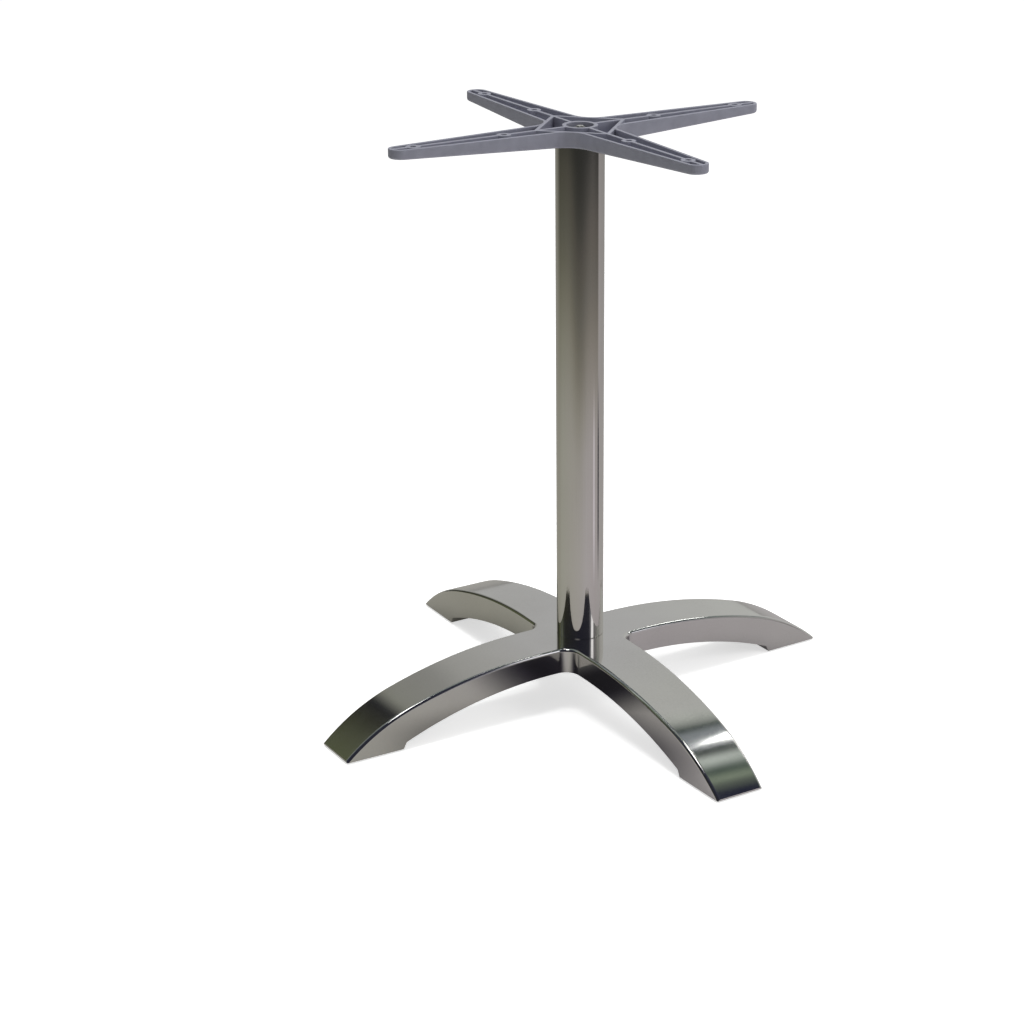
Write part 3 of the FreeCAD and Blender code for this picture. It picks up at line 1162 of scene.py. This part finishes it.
@dataclass
class Studio:
    """White floor, the cards of painted light and shade that only reflections see, soft lamps and the
    camera.
    """

    camera_distance: float = 2.82
    camera_height: float = 1.3065
    camera_bearing: float = math.radians(32.3)
    camera_pitch: float = math.radians(20.71)
    focal_mm: float = 86.4
    sideways_shift: float = -0.0664
    floor_size: float = 60.0
    white_glow: float = 0.6
    soft_light_left: float = 0.26
    soft_light_right: float = 0.62
    card_lift: float = 0.3 * MM
    sheet_fades: float = 3.0
    painted_sheet_glow: float = 0.2
    shade_near: float = 0.03
    shade_far: float = 0.13
    shade_full: float = 0.17
    shade_end: float = 0.315
    dome_radius: float = 12.0
    bands_from: float = -0.8
    bands_to: float = 1.0
    bands_fade: float = 0.80
    bands_end: float = 0.90
    ceiling_starts: float = 0.35
    ceiling_full: float = 0.5
    # glow of the painted patch that stands in for the side soft box in reflections
    painted_softbox_glow: tuple[float, float, float, float] = (1.45, 1.45, 1.55, 1.0)

    def __post_init__(self) -> None:
        """Works out where the camera looks, seen from above."""
        self.ahead = Vector((math.sin(self.camera_bearing), math.cos(self.camera_bearing), 0.0))
        self.right = Vector((self.ahead.y, -self.ahead.x, 0.0))

    def spot(self, right: float, ahead: float, up: float) -> Vector:
        """Gives a point from its distances right of the column, beyond it as the camera sees it, and up."""
        return self.right * right + self.ahead * ahead + Vector((0.0, 0.0, up))

    def hang(self, name: str, data: bpy.types.ID, at: Vector, look: Vector) -> Object:
        """Hangs a lamp or the camera.

        Args:
            name: what it is called.
            data: the lamp or camera itself.
            at: where it hangs.
            look: the direction that it faces.

        Returns:
            The new object.
        """
        piece = bpy.data.objects.new(name, data)
        bpy.context.scene.collection.objects.link(piece)
        piece.location = at
        piece.rotation_mode = "QUATERNION"
        piece.rotation_quaternion = look.to_track_quat("-Z", "Y")
        return piece

    def camera(self) -> None:
        """Places the camera at the photograph's viewing angle."""
        data = bpy.data.cameras.new("camera")
        data.lens = self.focal_mm
        data.shift_x = self.sideways_shift
        at = self.spot(0.0, -self.camera_distance, self.camera_height)
        look = self.ahead * math.cos(self.camera_pitch) - Vector((0.0, 0.0, math.sin(self.camera_pitch)))
        bpy.context.scene.camera = self.hang("camera", data, at, look)

    def lamp(self, box: SoftBox) -> None:
        """Hangs a soft box.

        Args:
            box: what it is like.
        """
        data = bpy.data.lights.new(box.name, "AREA")
        data.shape = "RECTANGLE"
        data.size, data.size_y = box.size
        data.energy = box.power
        at = self.spot(*box.at)
        lamp = self.hang(box.name, data, at, self.spot(*box.aim) - at)
        lamp.visible_glossy = box.mirrored

    def seen_rays(self, tree: NodeTree) -> NodeSocket:
        """Tells which rays see the white background.

        Args:
            tree: the node tree of the floor or the world.

        Returns:
            1 for camera, glossy and transmission rays, and else 0.
        """
        path = add_node(tree, "LightPath", {}, {}).node.outputs
        shine = add_node(tree, "Math", {"operation": "MAXIMUM"}, {
            0: path["Is Glossy Ray"], 1: path["Is Transmission Ray"]})
        return add_node(tree, "Math", {"operation": "MAXIMUM"}, {0: path["Is Camera Ray"], 1: shine})

    def floor(self) -> None:
        """Lays the white floor, which keeps the object's shadow and isn't seen from below."""
        material = new_material("white_floor")
        tree = material.node_tree
        tree.nodes.clear()
        glow = add_node(tree, "Math", TIMES, {0: self.seen_rays(tree), 1: self.white_glow})
        matt = add_node(tree, "BsdfDiffuse", {}, {"Color": "#F4F4F3"})
        lift = add_node(tree, "Emission", {}, {"Strength": glow})
        lit = add_node(tree, "AddShader", {}, {0: matt, 1: lift})
        below = add_node(tree, "NewGeometry", {}, {}, "Backfacing")
        clear = add_node(tree, "BsdfTransparent", {}, {})
        both = add_node(tree, "MixShader", {}, {0: below, 1: lit, 2: clear})
        add_node(tree, "OutputMaterial", {}, {"Surface": both})
        select_only()
        bpy.ops.mesh.primitive_plane_add(size=self.floor_size)
        floor = named("studio_floor")
        dress(floor, material)

    def world(self) -> None:
        """Makes the world white to look at, and a soft light that is a little stronger from the right."""
        world = bpy.data.worlds.new("studio_world")
        bpy.context.scene.world = world
        world.use_nodes = True
        tree = world.node_tree
        tree.nodes.clear()
        way = add_node(tree, "TexCoord", {}, {}, "Generated")
        sideways = add_node(tree, "VectorMath", ALONG, {0: way, 1: self.right})
        soft = add_node(tree, "MapRange", {}, {
            "Value": sideways, "From Min": -1.0,
            "To Min": self.soft_light_left, "To Max": self.soft_light_right})
        level = add_node(tree, "MapRange", {}, {
            "Value": self.seen_rays(tree), "To Min": soft, "To Max": 1.0})
        light = add_node(tree, "Background", {}, {"Color": "#FFFFFF", "Strength": level})
        add_node(tree, "OutputWorld", {}, {"Surface": light})

    def card(self, name: str, material: Material) -> None:
        """Makes the object that was just added a card that only reflections see.

        Args:
            name: what it is called.
            material: what it shows.
        """
        card = named(name)
        card.visible_camera = False
        card.visible_diffuse = False
        card.visible_transmission = False
        card.visible_shadow = False
        dress(card, material)

    def compass(self, tree: NodeTree) -> dict[str, NodeSocket]:
        """Tells where a point of a card lies, as the camera sees it.

        Args:
            tree: the card's node tree.

        Returns:
            Its distances right, ahead, up and out in metres, and its bearing as a share of a turn: straight
            ahead is 0.5 and to the right 0.75.
        """
        point = add_node(tree, "TexCoord", {}, {}, "Object")
        right = add_node(tree, "VectorMath", ALONG, {0: point, 1: self.right})
        ahead = add_node(tree, "VectorMath", ALONG, {0: point, 1: self.ahead})
        bearing = add_node(tree, "Math", {"operation": "ARCTAN2"}, {0: right, 1: ahead})
        return {
            "right": right,
            "ahead": ahead,
            "up": add_node(tree, "SeparateXYZ", {}, {"Vector": point}, "Z"),
            "out": add_node(tree, "VectorMath", {"operation": "LENGTH"}, {0: point}),
            "turn": add_node(tree, "MapRange", {}, {
                "Value": bearing, "From Min": -math.pi, "From Max": math.pi}),
        }

    def painted_leg_shade(self, tree: NodeTree) -> NodeSocket:
        """Tells how strongly painted shade darkens a point of the floor card beneath and beside the legs.

        Args:
            tree: the card's node tree.

        Returns:
            1 under the hub and the inner half of the legs, falling to 0 away from them.
        """
        point = add_node(tree, "TexCoord", {}, {}, "Object")
        sizes = add_node(tree, "VectorMath", {"operation": "ABSOLUTE"}, {0: point})
        both = add_node(tree, "SeparateXYZ", {}, {"Vector": sizes}).node.outputs
        beside = add_node(tree, "Math", {"operation": "MINIMUM"}, {0: both["X"], 1: both["Y"]})
        along = add_node(tree, "Math", {"operation": "MAXIMUM"}, {0: both["X"], 1: both["Y"]})
        across = add_node(tree, "MapRange", SOFT_STEP, {
            "Value": beside, "From Min": self.shade_far, "From Max": self.shade_near})
        inner = add_node(tree, "MapRange", SOFT_STEP, {
            "Value": along, "From Min": self.shade_end, "From Max": self.shade_full})
        return add_node(tree, "Math", TIMES, {0: across, 1: inner})

    def painted_sheet_light(self, tree: NodeTree) -> NodeSocket:
        """Paints light and shade on the sheet: pale close by, with painted shade far in front and at the
        left and two painted streaks.

        Args:
            tree: the card's node tree.

        Returns:
            The colour of the sheet.
        """
        where = self.compass(tree)
        # painted light: the sheet's pale colour changes with bearing, greyer at the left than at the right
        near = add_node(tree, "ValToRGB", {"stops": [
            (0.0, "#E7E3E1"), (0.10, "#E6E3DD"), (0.26, "#E2E2D7"), (0.36, "#D4D2C5"), (0.50, "#DFDDDA"),
            (0.70, "#E6E1E3"), (0.78, "#E6DFE3"), (0.835, "#EAE3E7"), (0.92, "#ECE7EA"), (1.0, "#E7E3E1"),
        ]}, {"Fac": where["turn"]})
        sideways = add_node(tree, "Math", DIVIDED, {0: where["right"], 1: where["out"]})
        to_left = add_node(tree, "MapRange", SOFT_STEP, {
            "Value": sideways, "From Min": -0.95, "From Max": -0.05, "To Min": 0.70, "To Max": 0.99})
        to_right = add_node(tree, "MapRange", SOFT_STEP, {
            "Value": sideways, "From Min": 0.05, "From Max": 0.80, "To Min": 1.0, "To Max": 0.86})
        stretched = add_node(tree, "Math", TIMES, {0: to_left, 1: to_right})
        depth = add_node(tree, "Math", TIMES, {0: where["out"], 1: stretched})
        share = add_node(tree, "MapRange", {}, {"Value": depth, "From Max": self.sheet_fades})
        # painted shade: the sheet darkens with distance, a little more slowly towards the sides
        painted_distance_shade = add_node(tree, "ValToRGB", {"stops": [
            (0.20, "#FFFFFF"), (0.28, "#F8F8F6"), (0.36, "#E7E7DF"), (0.44, "#CECDC2"), (0.50, "#BAB9AE"),
            (0.563, "#AAAAA2"), (0.633, "#9D9C93"), (0.71, "#92908A"), (0.793, "#7D7E79"),
            (0.887, "#6E6F6C"), (0.99, "#616361"),
        ]}, {"Fac": share})
        # painted shade: the distance shade covers the camera's side, from the right round to the left, and
        # not the part beyond the column
        painted_dark_sector = add_node(tree, "ValToRGB", {"stops": [
            (0.30, "#FFFFFF"), (0.37, "#000000"), (0.725, "#000000"), (0.742, "#FFFFFF"),
        ]}, {"Fac": where["turn"]})
        far = add_node(tree, "Mix", TINTED, {"Factor": painted_dark_sector, "A": near, "B": painted_distance_shade})
        reach = add_node(tree, "MapRange", {}, {"Value": where["out"], "From Max": self.sheet_fades})
        # painted highlight and painted shade: a pale streak and a dark streak at the right, 0.4 to 1.35 m
        # out and fullest from 0.6 to 1 m, for the column to mirror
        painted_streaks = add_node(tree, "ValToRGB", {"stops": [
            (0.712, "#BCBCBC"), (0.722, "#383840"), (0.735, "#383840"), (0.745, "#BCBCBC"),
            (0.788, "#BCBCBC"), (0.796, "#E6E6EC"), (0.812, "#E6E6EC"), (0.822, "#BCBCBC"),
        ]}, {"Fac": where["turn"]})
        stretch = add_node(tree, "ValToRGB", {"stops": [
            (0.13, "#000000"), (0.20, "#FFFFFF"), (0.33, "#FFFFFF"), (0.45, "#000000")]}, {"Fac": reach})
        streaked = add_node(tree, "Mix", BLEND, {"Factor": stretch, "A": "#BCBCBC", "B": painted_streaks})
        tint = add_node(tree, "Mix", TINTED, {"Factor": 1.0, "A": far, "B": streaked})
        # painted shade: a dark grey is mixed into the sheet beneath and beside the legs
        return add_node(tree, "Mix", TINTED, {"Factor": self.painted_leg_shade(tree), "A": tint, "B": "#595763"})

    def floor_card(self) -> None:
        """Lays the sheet of painted light and shade that polished metal mirrors in place of the floor."""
        material = new_material("painted_floor_sheet")
        tree = material.node_tree
        tree.nodes.clear()
        colour = self.painted_sheet_light(tree)
        matt = add_node(tree, "BsdfDiffuse", {}, {"Color": colour})
        # painted light: the sheet glows in its own colour on top of the lamps' light, which lifts its shade
        lift = add_node(tree, "Emission", {}, {"Color": colour, "Strength": self.painted_sheet_glow})
        both = add_node(tree, "AddShader", {}, {0: matt, 1: lift})
        add_node(tree, "OutputMaterial", {}, {"Surface": both})
        select_only()
        bpy.ops.mesh.primitive_plane_add(size=self.floor_size / 2, location=(0.0, 0.0, self.card_lift))
        self.card("floor_card", material)

    def dome_painted_light(self, tree: NodeTree) -> NodeSocket:
        """Paints light and shade of a room onto the dome: light behind, dark at the left, banded overhead,
        and a painted glow at the right in place of the side soft box.

        Args:
            tree: the card's node tree.

        Returns:
            The painted light that the dome sends out.
        """
        where = self.compass(tree)
        # painted light and shade: pale walls beyond the column, dark walls at the left and on the camera's
        # side
        walls = add_node(tree, "ValToRGB", {"stops": [
            (0.0, "#2E2E3A"), (0.22, "#37382F"), (0.325, "#5E634A"), (0.375, "#3A3B31"), (0.402, "#26262A"),
            (0.42, "#8F9088"), (0.45, "#979794"), (0.463, "#ACACA9"), (0.478, "#B4B4B2"), (0.5, "#BEBEBF"),
            (0.53, "#C2C3C0"), (0.64, "#CCCCCC"), (0.76, "#A8A7A6"), (0.855, "#8A8A94"), (0.875, "#363640"),
            (1.0, "#2E2E3A"),
        ]}, {"Fac": where["turn"]})
        lean = add_node(tree, "Math", DIVIDED, {0: where["ahead"], 1: where["up"]})
        band = add_node(tree, "MapRange", {}, {
            "Value": lean, "From Min": self.bands_from, "From Max": self.bands_to})
        # painted highlights and painted shade: pale and dark bands overhead, which the toes of the legs
        # mirror
        ceiling = add_node(tree, "ValToRGB", {"stops": [
            (0.19, "#2A2C38"), (0.33, "#4A4C5C"), (0.415, "#23253A"), (0.46, "#5A615B"), (0.495, "#8C9886"),
            (0.537, "#4E5B53"), (0.60, "#C8D0CA"), (0.652, "#2F3733"), (0.70, "#8A9196"), (0.783, "#8F959A"),
            (0.84, "#37433F"), (0.892, "#C2C6C0"),
        ]}, {"Fac": band})
        ceiling.node.color_ramp.interpolation = "EASE"
        over = add_node(tree, "MapRange", SOFT_STEP, {
            "Value": lean, "From Min": self.bands_end, "From Max": self.bands_fade})
        rise = add_node(tree, "Math", DIVIDED, {0: where["up"], 1: self.dome_radius})
        high = add_node(tree, "MapRange", SOFT_STEP, {
            "Value": rise, "From Min": self.ceiling_starts, "From Max": self.ceiling_full})
        overhead = add_node(tree, "Math", TIMES, {0: over, 1: high})
        tint = add_node(tree, "Mix", BLEND, {"Factor": overhead, "A": walls, "B": ceiling})
        # painted reflection: a glowing patch at the right, where the side soft box hangs, stands in for that
        # lamp, which polished metal does not mirror
        softbox_patch = add_node(tree, "ValToRGB", {"stops": [
            (0.802, "#000000"), (0.812, "#FFFFFF"), (0.838, "#FFFFFF"), (0.848, "#000000"),
        ]}, {"Fac": where["turn"]})
        tall = add_node(tree, "ValToRGB", {"stops": [
            (0.15, "#000000"), (0.32, "#FFFFFF"), (0.52, "#FFFFFF"), (0.72, "#000000")]}, {"Fac": rise})
        softbox_glow_mask = add_node(tree, "Math", TIMES, {0: softbox_patch, 1: tall})
        return add_node(tree, "Mix", BLEND, {"Factor": softbox_glow_mask, "A": tint, "B": self.painted_softbox_glow})

    def dome_card(self) -> None:
        """Hangs the glowing dome of painted light and shade that polished metal mirrors in place of the
        walls and the ceiling.
        """
        material = new_material("painted_light_dome")
        tree = material.node_tree
        tree.nodes.clear()
        glow = add_node(tree, "Emission", {}, {"Color": self.dome_painted_light(tree)})
        add_node(tree, "OutputMaterial", {}, {"Surface": glow})
        select_only()
        bpy.ops.mesh.primitive_uv_sphere_add(segments=64, ring_count=32, radius=self.dome_radius)
        self.card("dome_card", material)

    def build(self) -> None:
        """Sets the studio up."""
        bpy.context.scene.view_settings.view_transform = "Standard"
        self.camera()
        self.floor()
        self.world()
        self.floor_card()
        self.dome_card()
        for box in SOFT_BOXES:
            self.lamp(box)


def dress_cad_nodes(zinc: Material) -> None:
    """Gives the nuts and washers, which stay as the part's own solids, their finish.

    Args:
        zinc: the finish.
    """
    for name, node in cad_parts.items():
        if name.endswith(("nut", "washer")):
            dress(node, zinc)


def main() -> None:
    """Builds and dresses every piece, then sets up the studio."""
    logging.basicConfig(level=logging.INFO, format="%(name)s %(message)s")
    finishes = {finish: finish.value.material() for finish in Finish}
    zinc = finishes[Finish.ZINC]
    casting = finishes[Finish.POLISHED_CASTING]
    place(BaseCasting().build(), casting, "frame", "base_casting", "polished_aluminium")
    place(Column().build(), finishes[Finish.POLISHED_TUBE], "frame", "column_tube", "polished_tube")
    place(TopSpider().build(), finishes[Finish.CAST_SATIN], "frame", "top_spider", "cast_aluminium")
    place(TieRod().build(), zinc, "frame", "tie_rod", "zinc_steel")
    for quarter in range(4):
        glide = Glide(quarter)
        body = f"glide_{quarter + 1}"
        place(glide.stud(), zinc, body, f"glide_stud_{quarter + 1}", "zinc_steel")
        place(glide.pad(), finishes[Finish.BLACK_PLASTIC], body, f"glide_pad_{quarter + 1}", "black_plastic")
    dress_cad_nodes(zinc)
    Studio().build()


if __name__ == "__main__":
    main()
